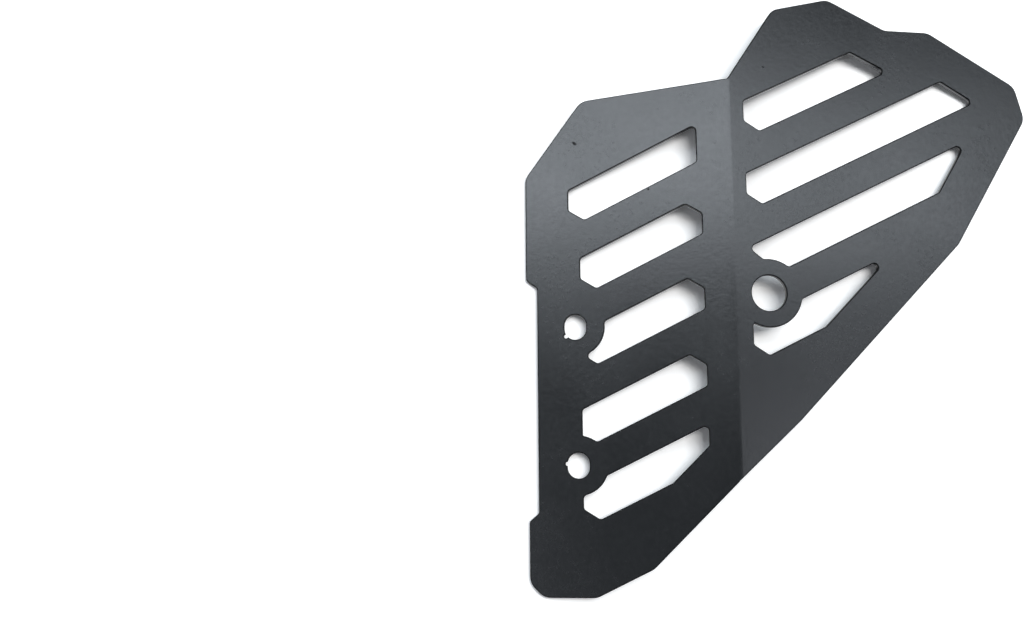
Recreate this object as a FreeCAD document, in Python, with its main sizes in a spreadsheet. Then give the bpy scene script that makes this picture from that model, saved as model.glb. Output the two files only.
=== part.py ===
import FreeCAD, Part
import math
import os
import Sketcher

# A guard plate cut from one steel sheet, folded once and lying as a shallow tent.
# The flat pattern is measured on the upper face: x runs across the fold line (left panel x < 0,
# right panel x > 0) and y runs along it, from the lower end of the fold. Lengths are in mm.

SIZES = {
    # sheet and fold
    "sheet_thickness": 2.0,
    "bend_angle": 15.0,
    "bend_inside_radius": 10.0,
    "fold_length": 150.0,
    # left panel outline
    "left_width": 76.2,
    "recess_depth": 4.1,
    "recess_top": 71.6,
    "recess_length": 82.8,
    "recess_ramp": 2.9,
    "shoulder_drop": 35.9,
    "crown_width": 54.7,
    "crown_drop": 6.3,
    "foot_drop": 41.0,
    "foot_inset": 0.65,
    "foot_chamfer": 5.0,
    "foot_end": 51.6,
    "heel_reach": 31.2,
    # right panel outline
    "notch_land": 0.1,
    "crest_x": 42.0,
    "crest_rise": 33.9,
    "crest_back": 22.4,
    "crest_back_drop": 5.4,
    "brow_reach": 23.0,
    "brow_drop": 11.3,
    "brow_length": 18.0,
    "tip_x": 121.1,
    "tip_drop": 45.1,
    "tip_back": 3.3,
    "tip_rise": 13.3,
    "hip_x": 90.0,
    "hip_y": 88.4,
    "belly_x": 23.8,
    "belly_y": 21.4,
    # rounded corners
    "outline_radius": 6.0,
    "step_radius": 1.5,
    "slot_radius": 1.5,
    # parallel slots
    "slot_angle": 26.2,
    "slot_width": 12.8,
    "first_slot_drop": 19.0,
    "last_slot_rise": 18.2,
    "slot_chamfer": 6.6,
    "fourth_chamfer": 4.3,
    "point_length": 11.2,
    "pivot_slot_shift": 0.5,
    "rim_width": 16.3,
    "crest_rim_width": 15.2,
    "fold_web_left": 10.5,
    "first_web_left": 11.8,
    "fold_web_right": 6.7,
    # bolt holes, each in a ring of uncut sheet
    "bolt_edge": 14.6,
    "bolt_lean": 0.5,
    "bolt_height": 5.8,
    "bolt_spacing": 50.8,
    "bolt_hole_width": 8.0,
    "bolt_hole_length": 9.3,
    "bolt_ring": 10.9,
    "pierce_radius": 0.75,
    "pierce_reach": 0.4,
    "pierce_angle": 38.0,
    "pivot_x": 13.75,
    "pivot_y": 68.1,
    "pivot_hole": 13.3,
    "pivot_ring": 12.8,
}


doc = FreeCAD.newDocument("skid_plate")
UP = FreeCAD.Vector(0, 0, 1)
ALONG_FOLD = FreeCAD.Vector(0, 1, 0)
LEFT, RIGHT = "left", "right"
SLOT_COUNT = 5
SLOT_NUMBERS = range(1, SLOT_COUNT + 1)
SAME_PLACE = 1e-4


# Driving sizes, and a second sheet for the places worked out from them

sizes = doc.addObject("Spreadsheet::Sheet", "Sizes")
for row, (alias, value) in enumerate(SIZES.items(), 1):
    sizes.set(f"A{row}", alias)
    sizes.set(f"B{row}", str(value))
    sizes.setAlias(f"B{row}", alias)
doc.recompute()

layout = doc.addObject("Spreadsheet::Sheet", "Layout")
derived = []


def derive(alias, formula):
    """Put a formula in the next row of the layout sheet and return the expression that reads it."""
    derived.append(alias)
    row = len(derived)
    layout.set(f"A{row}", alias)
    layout.set(f"B{row}", "=" + formula)
    layout.setAlias(f"B{row}", alias)
    return "Layout." + alias


def number(expression):
    """The number that a layout cell holds now."""
    return float(layout.get(expression.split(".")[1]))


slope = derive("slot_slope", "tan(Sizes.slot_angle * 1deg)")
slot_cosine = derive("slot_cosine", "cos(Sizes.slot_angle * 1deg)")
end_height = derive("slot_end_height", f"Sizes.slot_width / {slot_cosine}")
slot_span = "Sizes.fold_length - Sizes.first_slot_drop - Sizes.last_slot_rise"
slot_step = derive("slot_step", f"({slot_span}) / {SLOT_COUNT - 1}")
bend_outside_radius = derive("bend_outside_radius", "Sizes.bend_inside_radius + Sizes.sheet_thickness")


# Outlines of the two panels, as corners before rounding

recess_x = derive("recess_x", "-(Sizes.left_width - Sizes.recess_depth)")
recess_bottom = derive("recess_bottom", "Sizes.recess_top - Sizes.recess_length")
foot_x = derive("foot_x", "-(Sizes.left_width - Sizes.foot_inset)")
heel_y = derive("heel_y", f"-Sizes.foot_drop + (Sizes.foot_end - Sizes.heel_reach) * {slope}")
crest_y = derive("crest_y", "Sizes.fold_length + Sizes.crest_rise")
crest_back_x = derive("crest_back_x", "Sizes.crest_x - Sizes.crest_back")
brow_start = derive("brow_start", "Sizes.crest_x + Sizes.brow_reach")
brow_y = derive("brow_y", f"{crest_y} - Sizes.brow_drop")
tip_y = derive("tip_y", f"{crest_y} - Sizes.tip_drop")
crown_tilt = derive("crown_tilt", "Sizes.crown_drop / Sizes.crown_width")
back_tilt = derive("back_tilt", f"(Sizes.crest_rise - Sizes.crest_back_drop) / {crest_back_x}")
# The notch stands off the fold by the length that its rounding takes, and a small land.
notch_turn = derive("notch_turn", f"atan({back_tilt}) - atan({crown_tilt})")
notch_x = derive("notch_x", f"Sizes.step_radius * tan({notch_turn} / 2) + Sizes.notch_land")

LEFT_OUTLINE = [
    ("0", "Sizes.fold_length"),
    ("-Sizes.crown_width", "Sizes.fold_length - Sizes.crown_drop"),
    ("-Sizes.left_width", "Sizes.fold_length - Sizes.shoulder_drop"),
    ("-Sizes.left_width", "Sizes.recess_top + Sizes.recess_ramp"),
    (recess_x, "Sizes.recess_top"),
    (recess_x, recess_bottom),
    (foot_x, f"{recess_bottom} - Sizes.recess_ramp"),
    (foot_x, "-Sizes.foot_drop + Sizes.foot_chamfer"),
    (f"{foot_x} + Sizes.foot_chamfer", "-Sizes.foot_drop"),
    ("-Sizes.foot_end", "-Sizes.foot_drop"),
    ("-Sizes.heel_reach", heel_y),
    ("0", "0"),
]
RECESS_CORNERS = range(3, 7)
RIGHT_OUTLINE = [
    ("0", "0"),
    ("Sizes.belly_x", "Sizes.belly_y"),
    ("Sizes.hip_x", "Sizes.hip_y"),
    ("Sizes.tip_x", tip_y),
    ("Sizes.tip_x - Sizes.tip_back", f"{tip_y} + Sizes.tip_rise"),
    (f"{brow_start} + Sizes.brow_length", brow_y),
    (brow_start, brow_y),
    ("Sizes.crest_x", crest_y),
    (crest_back_x, f"{crest_y} - Sizes.crest_back_drop"),
    (notch_x, f"Sizes.fold_length + {notch_x} * {crown_tilt}"),
    ("0", "Sizes.fold_length"),
]
NOTCH_CORNERS = range(9, 10)


# One set of parallel slots runs across both panels, broken by the web along the fold

def slot_edge(slot, side):
    """Height at the fold of one long edge of a slot: side is 1 for the upper edge, -1 for the lower."""
    name = "upper" if side > 0 else "lower"
    centre = f"Sizes.fold_length - Sizes.first_slot_drop - {slot - 1} * {slot_step}"
    return derive(f"slot_edge_{slot}_{name}", f"{centre} + {side} * {end_height} / 2")


upper = {slot: slot_edge(slot, 1) for slot in SLOT_NUMBERS}
lower = {slot: slot_edge(slot, -1) for slot in SLOT_NUMBERS}
# The right half of the fourth slot is set off from its line, down the fold, for the pivot hole.
PIVOT_SLOT = "pivot"
upper[PIVOT_SLOT] = derive("pivot_slot_upper", f"{upper[4]} - Sizes.pivot_slot_shift")
lower[PIVOT_SLOT] = derive("pivot_slot_lower", f"{lower[4]} - Sizes.pivot_slot_shift")


def on_edge(edge, x):
    """The point of a slot edge at distance x from the fold."""
    return (x, f"{edge} + {slope} * ({x})")


def rim_line(name, start, end, inside, width="Sizes.rim_width"):
    """The line one rim width inside an outline edge: inside is 1 where the sheet lies above it, else -1."""
    (start_x, start_y), (end_x, end_y) = start, end
    tilt = derive(f"{name}_tilt", f"(({end_y}) - ({start_y})) / (({end_x}) - ({start_x}))")
    inset = f"{inside} * {width} * sqrt(1 + {tilt} ^ 2)"
    return tilt, derive(f"{name}_height", f"({start_y}) - {tilt} * ({start_x}) + {inset}")


def meet(edge, rim):
    """Where a slot edge runs into a rim line."""
    tilt, height = rim
    return on_edge(edge, f"({height} - {edge}) / ({slope} - {tilt})")


def blunt_lower(slot, x, chamfer="Sizes.slot_chamfer"):
    """The two ends of the chamfer at the lower left corner of a slot that ends at x."""
    foot = on_edge(lower[slot], x)[1]
    return [(x, f"{foot} + {chamfer}"), on_edge(lower[slot], f"{x} + {chamfer} * {slot_cosine}")]


def blunt_upper(slot, x, chamfer="Sizes.slot_chamfer"):
    """The two ends of the chamfer at the upper right corner of a slot that ends at x."""
    head = on_edge(upper[slot], x)[1]
    return [(x, f"{head} - {chamfer}"), on_edge(upper[slot], f"{x} - {chamfer} * {slot_cosine}")]


heel_rim = rim_line("heel_rim", LEFT_OUTLINE[10], LEFT_OUTLINE[11], 1)
belly_rim = rim_line("belly_rim", RIGHT_OUTLINE[1], RIGHT_OUTLINE[2], 1)
hip_rim = rim_line("hip_rim", RIGHT_OUTLINE[2], RIGHT_OUTLINE[3], 1)
tip_rim = rim_line("tip_rim", RIGHT_OUTLINE[4], RIGHT_OUTLINE[5], -1, "Sizes.crest_rim_width")
brow_rim = rim_line("brow_rim", RIGHT_OUTLINE[6], RIGHT_OUTLINE[7], -1, "Sizes.crest_rim_width")
edge_end = derive("slot_end_at_edge", "-(Sizes.left_width - Sizes.rim_width)")
recess_end = derive("slot_end_at_recess", f"{recess_x} + Sizes.rim_width")
web_left = derive("web_left", "-Sizes.fold_web_left")
first_web = derive("first_web", "-Sizes.first_web_left")
web_right = "Sizes.fold_web_right"

LEFT_SLOTS = [
    blunt_lower(1, edge_end)
    + [on_edge(lower[1], first_web), on_edge(upper[1], first_web), on_edge(upper[1], edge_end)]
]
for slot, chamfer in ((2, "Sizes.slot_chamfer"), (3, "Sizes.slot_chamfer"), (4, "Sizes.fourth_chamfer")):
    LEFT_SLOTS.append(
        blunt_lower(slot, recess_end, chamfer)
        + [on_edge(lower[slot], web_left)]
        + blunt_upper(slot, web_left)
        + [on_edge(upper[slot], recess_end)]
    )
heel_tilt, heel_height = heel_rim
LEFT_SLOTS.append(
    blunt_lower(5, recess_end)
    + [meet(lower[5], heel_rim), (web_left, f"{heel_height} + {heel_tilt} * {web_left}")]
    + [on_edge(upper[5], web_left), on_edge(upper[5], recess_end)]
)

pivot_web = f"{web_right} + Sizes.pivot_slot_shift"
RIGHT_SLOTS = [
    blunt_lower(slot, web)
    + [meet(lower[slot], rim), meet(upper[slot], rim), on_edge(upper[slot], web)]
    for slot, web, rim in (
        (1, web_right, brow_rim), (2, web_right, tip_rim), (PIVOT_SLOT, pivot_web, belly_rim)
    )
]
# The third slot comes to a point at the fold, to clear the pivot hole.
point_run = f"{web_right} + Sizes.point_length"
RIGHT_SLOTS.append(
    [on_edge(upper[3], web_right), on_edge(lower[3], point_run)]
    + [meet(lower[3], hip_rim), meet(upper[3], hip_rim)]
)

bolt_x = derive("bolt_x", f"{recess_x} + Sizes.bolt_edge")
bolt_upper_y = derive("bolt_upper_y", "Sizes.bolt_height + Sizes.bolt_spacing")
bolt_upper_x = derive("bolt_upper_x", f"{bolt_x} - Sizes.bolt_lean")
BOLTS = [(bolt_x, "Sizes.bolt_height"), (bolt_upper_x, bolt_upper_y)]
PIVOT = ("Sizes.pivot_x", "Sizes.pivot_y")


# Drawing helpers

def new_body(name, panel):
    """A body whose XY plane is the upper face of a panel, with the fold along its Y axis."""
    body = doc.addObject("PartDesign::Body", name)
    body.AllowCompound = True
    if panel == RIGHT:
        body.Placement.Rotation = FreeCAD.Rotation(ALONG_FOLD, SIZES["bend_angle"])
        body.setExpression("Placement.Rotation.Angle", "Sizes.bend_angle")
    return body


def new_sketch(body, name, role="XY_Plane"):
    sketch = body.newObject("Sketcher::SketchObject", name)
    plane = next(feature for feature in body.Origin.OriginFeatures if feature.Role == role)
    sketch.AttachmentSupport = [(plane, "")]
    sketch.MapMode = "FlatFace"
    return sketch


def bind(sketch, constraint, expression):
    """Add a dimension to a sketch and tie it to the sheets."""
    index = sketch.addConstraint(constraint)
    sketch.setExpression(f"Constraints[{index}]", expression)


def locate(sketch, points):
    """Give each point, a pair of formulas, its own pair of layout cells."""
    first = len(derived)
    places = [
        (derive(f"{sketch.Name}_x{first + k}", x), derive(f"{sketch.Name}_y{first + k}", y))
        for k, (x, y) in enumerate(points)
    ]
    layout.recompute()
    return places


def pin(sketch, geometry, end, place):
    """Tie the two coordinates of a sketch point to their layout cells."""
    x, y = place
    bind(sketch, Sketcher.Constraint("DistanceX", -1, 1, geometry, end, number(x)), x)
    bind(sketch, Sketcher.Constraint("DistanceY", -1, 1, geometry, end, number(y)), y)


def draw_polygon(sketch, corners):
    """A closed outline of straight lines; returns its corner points."""
    places = locate(sketch, corners)
    points = [FreeCAD.Vector(number(x), number(y), 0) for x, y in places]
    following = points[1:] + points[:1]
    lines = [sketch.addGeometry(Part.LineSegment(a, b)) for a, b in zip(points, following)]
    for line, after, place in zip(lines, lines[1:] + lines[:1], places):
        sketch.addConstraint(Sketcher.Constraint("Coincident", line, 2, after, 1))
        pin(sketch, line, 1, place)
    return points


def draw_circle(sketch, centre, radius):
    """A circle from formulas; returns its centre point and its radius."""
    place = locate(sketch, [centre])[0]
    size = derive(f"{sketch.Name}_radius{len(derived)}", radius)
    layout.recompute()
    middle = FreeCAD.Vector(number(place[0]), number(place[1]), 0)
    circle = sketch.addGeometry(Part.Circle(middle, UP, number(size)))
    bind(sketch, Sketcher.Constraint("Radius", circle, number(size)), size)
    pin(sketch, circle, 3, place)
    return middle, number(size)


def draw_oval(sketch, centre, reach, radius):
    """An upright oval of two half circles, whose centres lie a reach above and below its own."""
    x, y = centre
    places = locate(sketch, [(x, f"{y} + {reach}"), (x, f"{y} - {reach}")])
    high, low = [FreeCAD.Vector(number(x), number(y), 0) for x, y in places]
    side = FreeCAD.Vector(number(radius), 0, 0)
    top = sketch.addGeometry(Part.ArcOfCircle(Part.Circle(high, UP, side.x), 0, math.pi))
    left = sketch.addGeometry(Part.LineSegment(high - side, low - side))
    bottom = sketch.addGeometry(Part.ArcOfCircle(Part.Circle(low, UP, side.x), math.pi, 2 * math.pi))
    right = sketch.addGeometry(Part.LineSegment(low + side, high + side))
    loop = [top, left, bottom, right]
    for piece, after in zip(loop, loop[1:] + loop[:1]):
        sketch.addConstraint(Sketcher.Constraint("Tangent", piece, 2, after, 1))
    sketch.addConstraint(Sketcher.Constraint("Equal", top, bottom))
    bind(sketch, Sketcher.Constraint("Radius", top, side.x), radius)
    pin(sketch, top, 3, places[0])
    pin(sketch, bottom, 3, places[1])


def prism(body, sketch):
    """Extrude a sketch through the sheet, to both sides of its panel's upper face."""
    pad = body.newObject("PartDesign::Pad", f"{sketch.Name}_prism")
    pad.Profile = sketch
    pad.Midplane = True
    pad.setExpression("Length", f"2 * {bend_outside_radius}")
    doc.recompute()
    return pad


def upright_edges(shape):
    """Each upright edge of a prism: its name, its foot and the widths of the flat walls that meet there."""
    for index, edge in enumerate(shape.Edges, 1):
        start, end = edge.firstVertex().Point, edge.lastVertex().Point
        if edge.Length > SAME_PLACE and math.hypot(end.x - start.x, end.y - start.y) < SAME_PLACE:
            walls = shape.ancestorsOfType(edge, Part.Face)
            widths = [wall.Area / edge.Length for wall in walls if isinstance(wall.Surface, Part.Plane)]
            yield f"Edge{index}", FreeCAD.Vector(start.x, start.y, 0), widths


def add_fillet(body, base, name, edges, radius):
    fillet = body.newObject("PartDesign::Fillet", name)
    fillet.Base = (base, edges)
    fillet.setExpression("Radius", radius)
    doc.recompute()
    return fillet


def round_corners(body, base, radius, corners):
    """Fillet the upright edges of a prism that stand at given corners."""
    edges = [
        name for name, foot, widths in upright_edges(base.Shape)
        if any(foot.distanceToPoint(corner) < SAME_PLACE for corner in corners)
    ]
    return add_fillet(body, base, f"{base.Name}_{radius}", edges, f"Sizes.{radius}")


def round_ring_corners(body, base, circles):
    """Fillet each corner where a ring meets a slot, by at most half of the flat wall there."""
    corners = [
        (foot, min(widths)) for name, foot, widths in upright_edges(base.Shape)
        if widths and any(abs(foot.distanceToPoint(centre) - size) < SAME_PLACE for centre, size in circles)
    ]
    ring_name = base.Name
    for count, (corner, wall) in enumerate(corners, 1):
        edges = [
            name for name, foot, widths in upright_edges(base.Shape)
            if foot.distanceToPoint(corner) < SAME_PLACE
        ]
        radius = f"min(Sizes.slot_radius; {wall / 2})"
        base = add_fillet(body, base, f"{ring_name}_corner_{count}", edges, radius)


# The folded strip that the plate is trimmed from

def folded_strip():
    """The bent section, drawn past the widest points of the outline by a corner radius."""
    body = new_body("folded_strip", LEFT)
    strip_left = derive("strip_left", "-(Sizes.left_width + Sizes.outline_radius)")
    strip_right = derive("strip_right", "Sizes.tip_x + Sizes.outline_radius")
    right_reach = (
        derive("right_reach", f"{strip_right} * cos(Sizes.bend_angle * 1deg)"),
        derive("right_fall", f"-{strip_right} * sin(Sizes.bend_angle * 1deg)"),
    )
    strip_length = derive("strip_length", f"2 * ({crest_y} + Sizes.outline_radius)")
    layout.recompute()
    sheet = SIZES["sheet_thickness"]
    inside = SIZES["bend_inside_radius"]
    bend = math.radians(SIZES["bend_angle"])
    outside = inside + sheet
    across = FreeCAD.Vector(math.cos(bend), -math.sin(bend), 0)
    outward = FreeCAD.Vector(math.sin(bend), math.cos(bend), 0)
    centre = FreeCAD.Vector(-outside * math.tan(bend / 2), -outside, 0)
    start = FreeCAD.Vector(number(strip_left), 0, 0)
    end = across * number(strip_right)
    down = FreeCAD.Vector(0, -sheet, 0)

    def arc(radius):
        circle = Part.Circle(centre, UP, radius)
        return Part.ArcOfCircle(circle, math.pi / 2 - bend, math.pi / 2)

    sketch = new_sketch(body, "strip_section", "XZ_Plane")
    left_top = sketch.addGeometry(Part.LineSegment(start, centre + FreeCAD.Vector(0, outside, 0)))
    outer = sketch.addGeometry(arc(outside))
    right_top = sketch.addGeometry(Part.LineSegment(centre + outward * outside, end))
    right_end = sketch.addGeometry(Part.LineSegment(end, end - outward * sheet))
    right_under = sketch.addGeometry(Part.LineSegment(end - outward * sheet, centre + outward * inside))
    inner = sketch.addGeometry(arc(inside))
    left_under = sketch.addGeometry(Part.LineSegment(centre + FreeCAD.Vector(0, inside, 0), start + down))
    left_end = sketch.addGeometry(Part.LineSegment(start + down, start))

    sketch.addConstraint([
        Sketcher.Constraint("Tangent", left_top, 2, outer, 2),
        Sketcher.Constraint("Tangent", outer, 1, right_top, 1),
        Sketcher.Constraint("Coincident", right_top, 2, right_end, 1),
        Sketcher.Constraint("Coincident", right_end, 2, right_under, 1),
        Sketcher.Constraint("Tangent", right_under, 2, inner, 1),
        Sketcher.Constraint("Tangent", inner, 2, left_under, 1),
        Sketcher.Constraint("Coincident", left_under, 2, left_end, 1),
        Sketcher.Constraint("Coincident", left_end, 2, left_top, 1),
        Sketcher.Constraint("Coincident", inner, 3, outer, 3),
        Sketcher.Constraint("PointOnObject", left_top, 1, -1),
        Sketcher.Constraint("Horizontal", left_top),
        Sketcher.Constraint("Horizontal", left_under),
        Sketcher.Constraint("Vertical", left_end),
        Sketcher.Constraint("PointOnObject", -1, 1, right_top),
        Sketcher.Constraint("Perpendicular", right_top, right_end),
        Sketcher.Constraint("Parallel", right_top, right_under),
    ])
    bind(sketch, Sketcher.Constraint("DistanceY", left_end, 1, left_end, 2, sheet), "Sizes.sheet_thickness")
    bind(sketch, Sketcher.Constraint("Radius", inner, inside), "Sizes.bend_inside_radius")
    bind(sketch, Sketcher.Constraint("DistanceX", -1, 1, left_top, 1, start.x), strip_left)
    pin(sketch, right_top, 2, right_reach)
    pad = body.newObject("PartDesign::Pad", "strip")
    pad.Profile = sketch
    pad.Midplane = True
    pad.setExpression("Length", strip_length)
    return body


# Prisms that trim the strip to the outline and cut its slots and holes

def outline_prism(panel, corners, small):
    """One panel's outline, with the corners that are numbered in small rounded less than the others."""
    body = new_body(f"{panel}_outline", panel)
    sketch = new_sketch(body, f"{panel}_outline_sketch")
    points = draw_polygon(sketch, corners)
    tight = [points[k] for k in small]
    wide = [point for point in points if point not in tight and point.x != 0]
    stepped = round_corners(body, prism(body, sketch), "step_radius", tight)
    round_corners(body, stepped, "outline_radius", wide)
    return body


def slot_prisms(panel, slots, rings):
    """One panel's slots, less a ring of sheet round each hole beside them."""
    body = new_body(f"{panel}_slots", panel)
    sketch = new_sketch(body, f"{panel}_slot_sketch")
    points = [point for corners in slots for point in draw_polygon(sketch, corners)]
    round_corners(body, prism(body, sketch), "slot_radius", points)
    ring_sketch = new_sketch(body, f"{panel}_ring_sketch")
    circles = [draw_circle(ring_sketch, centre, radius) for centre, radius in rings]
    pocket = body.newObject("PartDesign::Pocket", f"{panel}_rings")
    pocket.Profile = ring_sketch
    pocket.Midplane = True
    pocket.setExpression("Length", f"4 * {bend_outside_radius}")
    doc.recompute()
    round_ring_corners(body, pocket, circles)
    return body


def bolt_hole_prisms():
    """Oval bolt holes, long along the fold, each with the small bite left where its cut began."""
    body = new_body("bolt_holes", LEFT)
    sketch = new_sketch(body, "bolt_hole_sketch")
    reach = derive("bolt_reach", "(Sizes.bolt_hole_length - Sizes.bolt_hole_width) / 2")
    radius = derive("bolt_radius", "Sizes.bolt_hole_width / 2")
    layout.recompute()
    for x, y in BOLTS:
        draw_oval(sketch, (x, y), reach, radius)
    prism(body, sketch)
    bites = new_sketch(body, "pierce_sketch")
    low, high = BOLTS
    bite_x = f"{high[0]} - ({radius} + Sizes.pierce_reach) * cos(Sizes.pierce_angle * 1deg)"
    bite_y = f"{high[1]} - {reach} - ({radius} + Sizes.pierce_reach) * sin(Sizes.pierce_angle * 1deg)"
    draw_circle(bites, (bite_x, bite_y), "Sizes.pierce_radius")
    draw_circle(bites, (f"{low[0]} - {radius}", f"{low[1]} + {reach}"), "Sizes.pierce_radius")
    prism(body, bites)
    return body


def pivot_hole_prism():
    body = new_body("pivot_hole", RIGHT)
    sketch = new_sketch(body, "pivot_hole_sketch")
    draw_circle(sketch, PIVOT, "Sizes.pivot_hole / 2")
    prism(body, sketch)
    return body


def combine(kind, name, base, tool):
    result = doc.addObject(f"Part::{kind}", name)
    result.Base = base
    result.Tool = tool
    return result


strip = folded_strip()
left_outline = outline_prism(LEFT, LEFT_OUTLINE, RECESS_CORNERS)
right_outline = outline_prism(RIGHT, RIGHT_OUTLINE, NOTCH_CORNERS)
outline = combine("Fuse", "outline", left_outline, right_outline)
trimmed = combine("Common", "trimmed_sheet", strip, outline)
cutters = doc.addObject("Part::MultiFuse", "cutters")
cutters.Shapes = [
    slot_prisms(LEFT, LEFT_SLOTS, [(centre, "Sizes.bolt_ring") for centre in BOLTS]),
    slot_prisms(RIGHT, RIGHT_SLOTS, [(PIVOT, "Sizes.pivot_ring")]),
    bolt_hole_prisms(),
    pivot_hole_prism(),
]
plate = combine("Cut", "plate", trimmed, cutters)
plate.Label = "skid_plate"
doc.recompute()


# The plate rests on its left edge and on the tip of its right panel

def rest_angle():
    """Turn about the fold that brings the left edge and the right tip to one level."""
    sheet = SIZES["sheet_thickness"]
    bend = math.radians(SIZES["bend_angle"])
    tip = right_outline.Tip.Shape.BoundBox.XMax
    rise = tip * math.sin(bend) + sheet * math.cos(bend) - sheet
    reach = tip * math.cos(bend) - sheet * math.sin(bend) + SIZES["left_width"]
    return math.degrees(math.atan2(rise, reach))


plate.Placement = FreeCAD.Placement(FreeCAD.Vector(), FreeCAD.Rotation(ALONG_FOLD, -rest_angle()))
box = plate.Shape.BoundBox
plate.Placement.Base = FreeCAD.Vector(-box.Center.x, -box.Center.y, -box.ZMin)


# Check the document, then write the plate

for item in doc.Objects:
    if "Invalid" in item.State or "Error" in item.State:
        raise RuntimeError(f"{item.Name} failed: {item.State}")
shape = plate.Shape
if shape.isNull() or not shape.isValid() or len(shape.Solids) != 1:
    raise RuntimeError("skid_plate is not one valid solid")
os.makedirs("parts", exist_ok=True)
shape.Solids[0].exportStep(f"parts/{plate.Label}.step")
box = shape.BoundBox
print(f"skid_plate: {box.XLength:.1f} x {box.YLength:.1f} x {box.ZLength:.1f} mm, {shape.Volume:.0f} mm3")
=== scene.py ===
# %% [markdown]
# A skid plate: one sheet of steel, laser cut, folded once and coated with satin black powder.
# The solid arrives from the CAD model at its real size, in metres, lying as it would on a table.
# This lesson gives it its finish: softened edges, a baked powder coat, a white table and soft light.

# %% Load the plate
import math

import bpy
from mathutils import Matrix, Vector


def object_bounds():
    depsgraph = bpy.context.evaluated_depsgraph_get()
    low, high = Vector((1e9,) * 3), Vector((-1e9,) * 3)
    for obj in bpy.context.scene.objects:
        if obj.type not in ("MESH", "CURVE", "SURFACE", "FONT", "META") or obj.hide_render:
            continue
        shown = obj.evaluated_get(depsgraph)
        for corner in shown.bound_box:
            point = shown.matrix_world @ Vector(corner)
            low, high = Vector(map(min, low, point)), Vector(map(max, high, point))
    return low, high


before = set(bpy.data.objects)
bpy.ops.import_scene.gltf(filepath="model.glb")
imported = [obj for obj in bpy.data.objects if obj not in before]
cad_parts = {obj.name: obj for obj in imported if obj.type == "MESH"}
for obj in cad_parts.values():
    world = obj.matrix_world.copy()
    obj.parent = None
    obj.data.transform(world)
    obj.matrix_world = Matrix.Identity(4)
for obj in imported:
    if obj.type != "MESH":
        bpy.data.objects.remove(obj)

cad_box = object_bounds()
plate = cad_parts["skid_plate"]
MM = 0.001
print("plate size in mm:", [round(side / MM, 1) for side in cad_box[1] - cad_box[0]])

# %% [markdown]
# A cut edge is never a perfect corner: tumbling breaks it and the coat flows round it.
# The corners could be modelled into the solid, but a bevel on top of it is quicker to tune and leaves
# the solid alone. The triangles come in separately for each face, so they are joined and the flat ones
# merged first: the bevel then meets whole faces, not slivers. Normals weighted by area keep the two
# panels flat to the eye right up to their edges, with a clean roll over the fold between them.

# %% Soften the cut edges
EDGE_BREAK = 0.4 * MM
EDGE_STEPS = 3
JOIN_REACH = 0.05 * MM
FLAT_TURN = math.radians(0.5)
CUT_TURN = math.radians(40)
AREA_WEIGHT = 90

joined = plate.modifiers.new("joined_faces", "WELD")
joined.merge_threshold = JOIN_REACH
merged = plate.modifiers.new("whole_faces", "DECIMATE")
merged.decimate_type = "DISSOLVE"
merged.angle_limit = FLAT_TURN
broken = plate.modifiers.new("edge_break", "BEVEL")
broken.width = EDGE_BREAK
broken.segments = EDGE_STEPS
broken.limit_method = "ANGLE"
broken.angle_limit = CUT_TURN
broken.use_clamp_overlap = False
broken.loop_slide = False
even = plate.modifiers.new("even_shading", "WEIGHTED_NORMAL")
even.weight = AREA_WEIGHT
even.keep_sharp = False

softened = plate.evaluated_get(bpy.context.evaluated_depsgraph_get())
print("faces with softened edges:", len(softened.data.polygons))

# %% [markdown]
# Colours are written as the sRGB hex values a painter would pick from a screen. Shaders work in linear
# light, so one function turns the first into the second. A second one adds a node to a material: it
# sets the node's options, then gives each input a constant or a link. The Mix node repeats the names of
# its sockets for each kind of data, so its sockets go by number.

# %% Helpers for colours and nodes
def from_hex(code):
    """Linear RGBA of an sRGB hex colour."""
    parts = [int(code[k:k + 2], 16) / 255 for k in (1, 3, 5)]
    linear = [p / 12.92 if p <= 0.04045 else ((p + 0.055) / 1.055) ** 2.4 for p in parts]
    return (*linear, 1.0)


def add_node(tree, kind, inputs=None, **options):
    """Add a node with its options; an input is a constant or another node's output socket."""
    node = tree.nodes.new(kind)
    for name, value in options.items():
        setattr(node, name, value)
    for name, value in (inputs or {}).items():
        if isinstance(value, bpy.types.NodeSocket):
            tree.links.new(value, node.inputs[name])
        else:
            node.inputs[name].default_value = value
    return node


def new_material(name):
    """An empty node material and its node tree."""
    material = bpy.data.materials.new(name)
    material.use_nodes = True
    material.node_tree.nodes.clear()
    return material, material.node_tree


COLOUR_A, COLOUR_B, COLOUR_OUT = 6, 7, 2
NUMBER_A, NUMBER_B, NUMBER_OUT = 2, 3, 0

print("mid grey in linear light:", [round(c, 4) for c in from_hex("#808080")])

# %% [markdown]
# Powder coat is dry polyester paint, charged, blown on and baked until it flows into one skin. It is a
# dielectric over black pigment, so it has a plain mirror-like reflection of about six percent, spread
# by a satin surface. As it flows it keeps a faint waviness, the orange peel, a millimetre or two across,
# with finer grain on top, drawn coarser than it is so that it shows. Noise drives a bump for both. The
# gloss could be one number, but then the sheen looks like plastic film, so the peel and a slow drift
# along the panels mottle it.

# %% Satin black powder coat
PEEL_WAVE = 1.6 * MM
PEEL_DEPTH = 0.019 * MM
GRAIN_WAVE = 0.9 * MM
GRAIN_DEPTH = 0.012 * MM
DRIFT_WAVE = 35 * MM
PEEL_LAYERS, GRAIN_LAYERS, DRIFT_LAYERS = 2.0, 1.0, 3.0
COAT_BLACK = "#151719"
COAT_PALER = "#1b1d1f"
SATIN = (0.21, 0.28)
MOTTLE_RANGE = (0.7, 1.3)
COAT_IOR = 1.65

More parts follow.
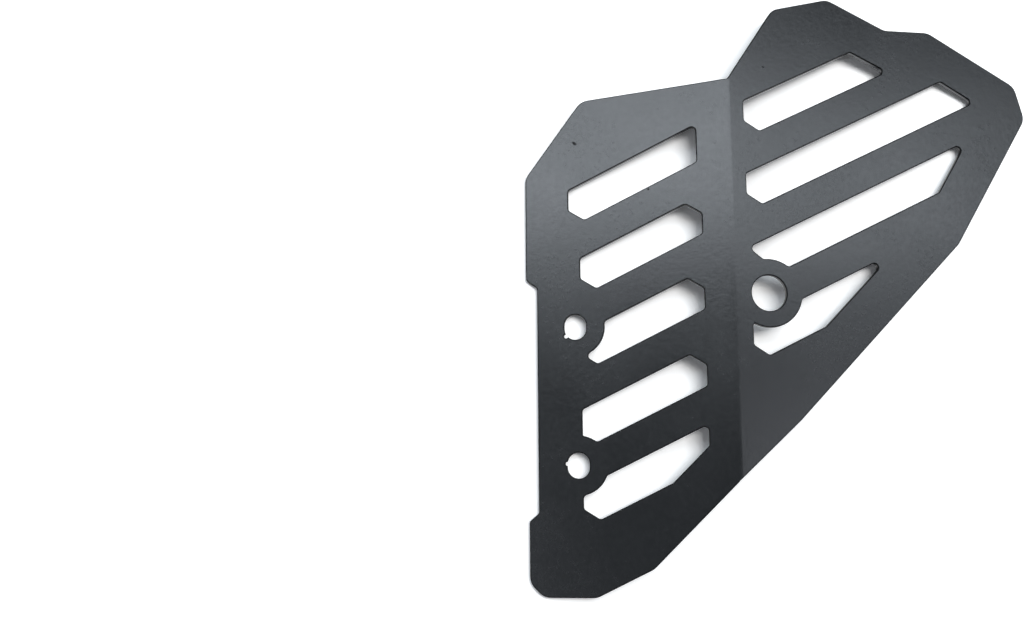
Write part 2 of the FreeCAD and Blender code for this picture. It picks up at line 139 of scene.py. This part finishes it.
coat, tree = new_material("satin_black_powder_coat")
place = add_node(tree, "ShaderNodeTexCoord").outputs["Object"]
peel = add_node(tree, "ShaderNodeTexNoise", {
    "Vector": place, "Scale": 1 / PEEL_WAVE, "Detail": PEEL_LAYERS})
grain = add_node(tree, "ShaderNodeTexNoise", {
    "Vector": place, "Scale": 1 / GRAIN_WAVE, "Detail": GRAIN_LAYERS})
drift = add_node(tree, "ShaderNodeTexNoise", {
    "Vector": place, "Scale": 1 / DRIFT_WAVE, "Detail": DRIFT_LAYERS})
grain_bump = add_node(tree, "ShaderNodeBump", {
    "Height": grain.outputs["Fac"], "Strength": 1.0, "Distance": GRAIN_DEPTH})
peel_bump = add_node(tree, "ShaderNodeBump", {
    "Height": peel.outputs["Fac"], "Strength": 1.0, "Distance": PEEL_DEPTH,
    "Normal": grain_bump.outputs["Normal"]})
mottle = add_node(tree, "ShaderNodeMath", {
    0: drift.outputs["Fac"], 1: peel.outputs["Fac"]}, operation="ADD")
sheen = add_node(tree, "ShaderNodeMapRange", {
    "Value": mottle.outputs[0], "From Min": MOTTLE_RANGE[0], "From Max": MOTTLE_RANGE[1],
    "To Min": SATIN[0], "To Max": SATIN[1]})
tone = add_node(tree, "ShaderNodeMix", {
    "Factor": drift.outputs["Fac"], COLOUR_A: from_hex(COAT_BLACK), COLOUR_B: from_hex(COAT_PALER)},
    data_type="RGBA")
print("coat nodes so far:", len(tree.nodes))

# %% [markdown]
# The coat has taken a few knocks. The largest is a chip on the left panel, where the paint has broken
# away down to the dark primer; the other two are pin-sized pits. Each is an ellipse in the coat,
# placed in millimetres, with a ragged edge from the fine noise. They could be cut into the mesh, but at
# the depth of a paint film they are texture: dull inside, with a small step that catches the light.

# %% Chip and pits in the coat
PRIMER_DARK = "#08080a"
PRIMER_DULL = 0.75
CHIP_STEP = 0.05 * MM
CHIPS = (  # centre in mm, length and width in mm, turn in degrees
    ((-79.0, 55.8, 5.0), (2.1, 1.1), -38),
    ((-51.9, 36.8, 9.4), (0.9, 0.7), 20),
    ((-7.5, 83.9, 12.6), (1.0, 0.6), -10),
)
CHIP_REACH = 1 * MM
CHIP_RIM = 0.35
RAGGED = 0.25
NOISE_MIDDLE = (0.5, 0.5, 0.5)

ragged_shift = add_node(tree, "ShaderNodeVectorMath", {
    0: grain.outputs["Color"], 1: NOISE_MIDDLE}, operation="SUBTRACT")


def chip_mask(centre, size, turn):
    """A socket that is 1 inside a ragged ellipse on the coat and 0 outside it."""
    local = add_node(tree, "ShaderNodeMapping", {
        "Vector": place, "Location": [c * MM for c in centre], "Rotation": (0, 0, math.radians(turn)),
        "Scale": (size[0] / 2 * MM, size[1] / 2 * MM, CHIP_REACH)}, vector_type="TEXTURE")
    torn = add_node(tree, "ShaderNodeVectorMath", {
        0: ragged_shift.outputs[0], 1: (RAGGED,) * 3, 2: local.outputs[0]}, operation="MULTIPLY_ADD")
    ball = add_node(tree, "ShaderNodeTexGradient", {"Vector": torn.outputs[0]}, gradient_type="SPHERICAL")
    return add_node(tree, "ShaderNodeMapRange", {
        "Value": ball.outputs["Fac"], "From Min": 0.0, "From Max": CHIP_RIM}).outputs["Result"]


chipped = chip_mask(*CHIPS[0])
for chip in CHIPS[1:]:
    chipped = add_node(tree, "ShaderNodeMath", {
        0: chipped, 1: chip_mask(*chip)}, operation="MAXIMUM").outputs[0]
chip_bump = add_node(tree, "ShaderNodeBump", {
    "Height": chipped, "Strength": 1.0, "Distance": CHIP_STEP,
    "Normal": peel_bump.outputs["Normal"]}, invert=True)
chip_tone = add_node(tree, "ShaderNodeMix", {
    "Factor": chipped, COLOUR_A: tone.outputs[COLOUR_OUT], COLOUR_B: from_hex(PRIMER_DARK)},
    data_type="RGBA")
chip_sheen = add_node(tree, "ShaderNodeMix", {
    "Factor": chipped, NUMBER_A: sheen.outputs["Result"], NUMBER_B: PRIMER_DULL}, data_type="FLOAT")
shader = add_node(tree, "ShaderNodeBsdfPrincipled", {
    "Base Color": chip_tone.outputs[COLOUR_OUT], "Roughness": chip_sheen.outputs[NUMBER_OUT],
    "Normal": chip_bump.outputs["Normal"], "IOR": COAT_IOR})
add_node(tree, "ShaderNodeOutputMaterial", {"Surface": shader.outputs["BSDF"]})
plate.material_slots[0].material = coat
print("coat nodes:", len(tree.nodes), "chips:", len(CHIPS))

# %% [markdown]
# Powder pulls back from a sharp edge as it melts, so on the cut edges the coat is thin and less glossy.
# Their colour is darker than the coat's, partly for the thin coat and partly as painted shade: a fine
# dark line runs round the outline and every slot, standing in for the shade on edges that turn away
# from the light. A mask could paint that line, but the bevel already knows which faces it made, so it
# hands them to a second material slot.

# %% Thin coat and painted shade on the cut edges
# The edge colours are darker than the coat: partly the thin coat, partly painted shade.
EDGE_THIN_COAT_AND_SHADE = "#060707"
EDGE_PALER_COAT_AND_SHADE = "#0d0e0f"
EDGE_SATIN = 0.35
EDGE_IOR = 1.25

edge_coat_and_shade, tree = new_material("thin_coat_and_painted_shade_on_cut_edges")
edge_place = add_node(tree, "ShaderNodeTexCoord").outputs["Object"]
edge_grain = add_node(tree, "ShaderNodeTexNoise", {
    "Vector": edge_place, "Scale": 1 / GRAIN_WAVE, "Detail": GRAIN_LAYERS})
# The edge faces get painted shade mixed into the thin coat's dark colour.
edge_tone_and_shade = add_node(tree, "ShaderNodeMix", {
    "Factor": edge_grain.outputs["Fac"], COLOUR_A: from_hex(EDGE_THIN_COAT_AND_SHADE), COLOUR_B: from_hex(EDGE_PALER_COAT_AND_SHADE)},
    data_type="RGBA")
edge_bump = add_node(tree, "ShaderNodeBump", {
    "Height": edge_grain.outputs["Fac"], "Strength": 1.0, "Distance": GRAIN_DEPTH})
edge_shader = add_node(tree, "ShaderNodeBsdfPrincipled", {
    "Base Color": edge_tone_and_shade.outputs[COLOUR_OUT], "Roughness": EDGE_SATIN, "IOR": EDGE_IOR,
    "Normal": edge_bump.outputs["Normal"]})
add_node(tree, "ShaderNodeOutputMaterial", {"Surface": edge_shader.outputs["BSDF"]})
plate.data.materials.append(edge_coat_and_shade)
broken.material = len(plate.material_slots) - 1
print("material slots:", [slot.material.name for slot in plate.material_slots])

# %% [markdown]
# The plate lies on a white table, a plain diffuse sheet that sends its light back up under the plate.
# Seen directly or mirrored it is half as bright again, so that it comes out white while soft shadows
# still fall on it. A brighter lamp would whiten it too, but would also wash out the black coat.

# %% White table
TABLE_SIZE = 6.0
TABLE_WHITE = "#e8e8e8"
TABLE_LIFT = "#a9a8a5"

bpy.ops.mesh.primitive_plane_add(size=TABLE_SIZE, location=(0, 0, cad_box[0].z))
table = bpy.context.object
table.name = "table"
white, tree = new_material("white_table")
seen = add_node(tree, "ShaderNodeLightPath")
either = add_node(tree, "ShaderNodeMath", {
    0: seen.outputs["Is Camera Ray"], 1: seen.outputs["Is Glossy Ray"]}, operation="MAXIMUM")
direct = add_node(tree, "ShaderNodeMath", {
    0: either.outputs[0], 1: seen.outputs["Is Transmission Ray"]}, operation="MAXIMUM")
paper = add_node(tree, "ShaderNodeBsdfDiffuse", {"Color": from_hex(TABLE_WHITE)})
lift = add_node(tree, "ShaderNodeBsdfDiffuse", {"Color": from_hex(TABLE_LIFT)})
lifted = add_node(tree, "ShaderNodeAddShader", {0: paper.outputs[0], 1: lift.outputs[0]})
mixed = add_node(tree, "ShaderNodeMixShader", {
    0: direct.outputs[0], 1: paper.outputs[0], 2: lifted.outputs[0]})
add_node(tree, "ShaderNodeOutputMaterial", {"Surface": mixed.outputs[0]})
table.data.materials.append(white)
print("table at height", round(table.location.z, 5))

# %% [markdown]
# Soft studio light: flat boxes hang level under the ceiling. The longest stand behind the plate, and their
# reflection is the pale band across the upper part of both panels; a faint glow below them draws the band
# out. A box to the right lifts the right panel, one to the left keeps the left edge from going black,
# and a dim room fills the rest. A wide lamp overhead makes the soft shadows in the slots. It could be
# hung where neither panel mirrors it, but it is simpler to keep it out of the reflections.
# Together they light the table at about the level where a colour renders as it is written.

# %% Lights
BOX_HEIGHT = 1.2
SOFT_BOXES = (  # name, x from and to, y from and to in metres, brightness, tint
    ("back_strip", (-1.05, 0.49), (0.295, 0.50), 4.9, "#eff7ff"),
    ("back_box", (-1.05, 0.49), (0.50, 0.88), 3.0, "#eff7ff"),
    ("back_strip_end", (0.49, 1.15), (0.25, 0.585), 2.95, "#eff7ff"),
    ("back_glow", (-0.60, 0.05), (0.10, 0.295), 0.28, "#eff7ff"),
    ("right_box", (0.52, 1.34), (-0.63, 0.07), 1.38, "#f2f6ff"),
    ("left_box", (-1.30, -0.54), (-0.89, -0.13), 1.62, "#f2f6ff"),
    ("top_lamp", (-0.12, 0.60), (-0.08, 0.24), 13.0, "#ffffff"),
)
UNMIRRORED = "top_lamp"
ROOM_LIGHT = 0.112
ROOM_TINT = "#f6faff"

# Watts in step with the area keep a box as bright when its size is changed.
for name, across, along, brightness, tint in SOFT_BOXES:
    lamp = bpy.data.lights.new(name, "AREA")
    lamp.shape = "RECTANGLE"
    lamp.size, lamp.size_y = across[1] - across[0], along[1] - along[0]
    lamp.energy = brightness * math.pi * lamp.size * lamp.size_y
    lamp.color = from_hex(tint)[:3]
    box = bpy.data.objects.new(name, lamp)
    box.location = (sum(across) / 2, sum(along) / 2, BOX_HEIGHT)
    box.visible_glossy = name != UNMIRRORED
    bpy.context.scene.collection.objects.link(box)
    print(name, "watts:", round(lamp.energy, 2))

room = bpy.data.worlds.new("dim_room")
room.use_nodes = True
room.node_tree.nodes["Background"].inputs["Color"].default_value = from_hex(ROOM_TINT)
room.node_tree.nodes["Background"].inputs["Strength"].default_value = ROOM_LIGHT
bpy.context.scene.world = room

# %% [markdown]
# The camera hangs over the table, a little to the left and in front of the plate, and looks almost
# straight down. A lens in mm could be guessed, but its focal length was measured in pixels of the picture,
# so the lens is worked out from that.

# %% Camera
PICTURE_WIDTH = 1024
FOCAL_PIXELS = 1048.6
SENSOR_MM = 36.0
NEAREST_SEEN = 10 * MM
CAMERA_PLACE = (-117.59 * MM, -69.75 * MM, 387.99 * MM)
CAMERA_TURN = (8.63, -2.12, -0.33)

camera_data = bpy.data.cameras.new("camera")
camera_data.sensor_width = SENSOR_MM
camera_data.sensor_fit = "HORIZONTAL"
camera_data.lens = SENSOR_MM * FOCAL_PIXELS / PICTURE_WIDTH
camera = bpy.data.objects.new("camera", camera_data)
camera.location = CAMERA_PLACE
camera.rotation_euler = [math.radians(turn) for turn in CAMERA_TURN]
camera_data.clip_start = NEAREST_SEEN
bpy.context.scene.collection.objects.link(camera)
bpy.context.scene.camera = camera
bpy.context.scene.view_settings.view_transform = "Standard"
print("lens in mm:", round(camera_data.lens, 2))
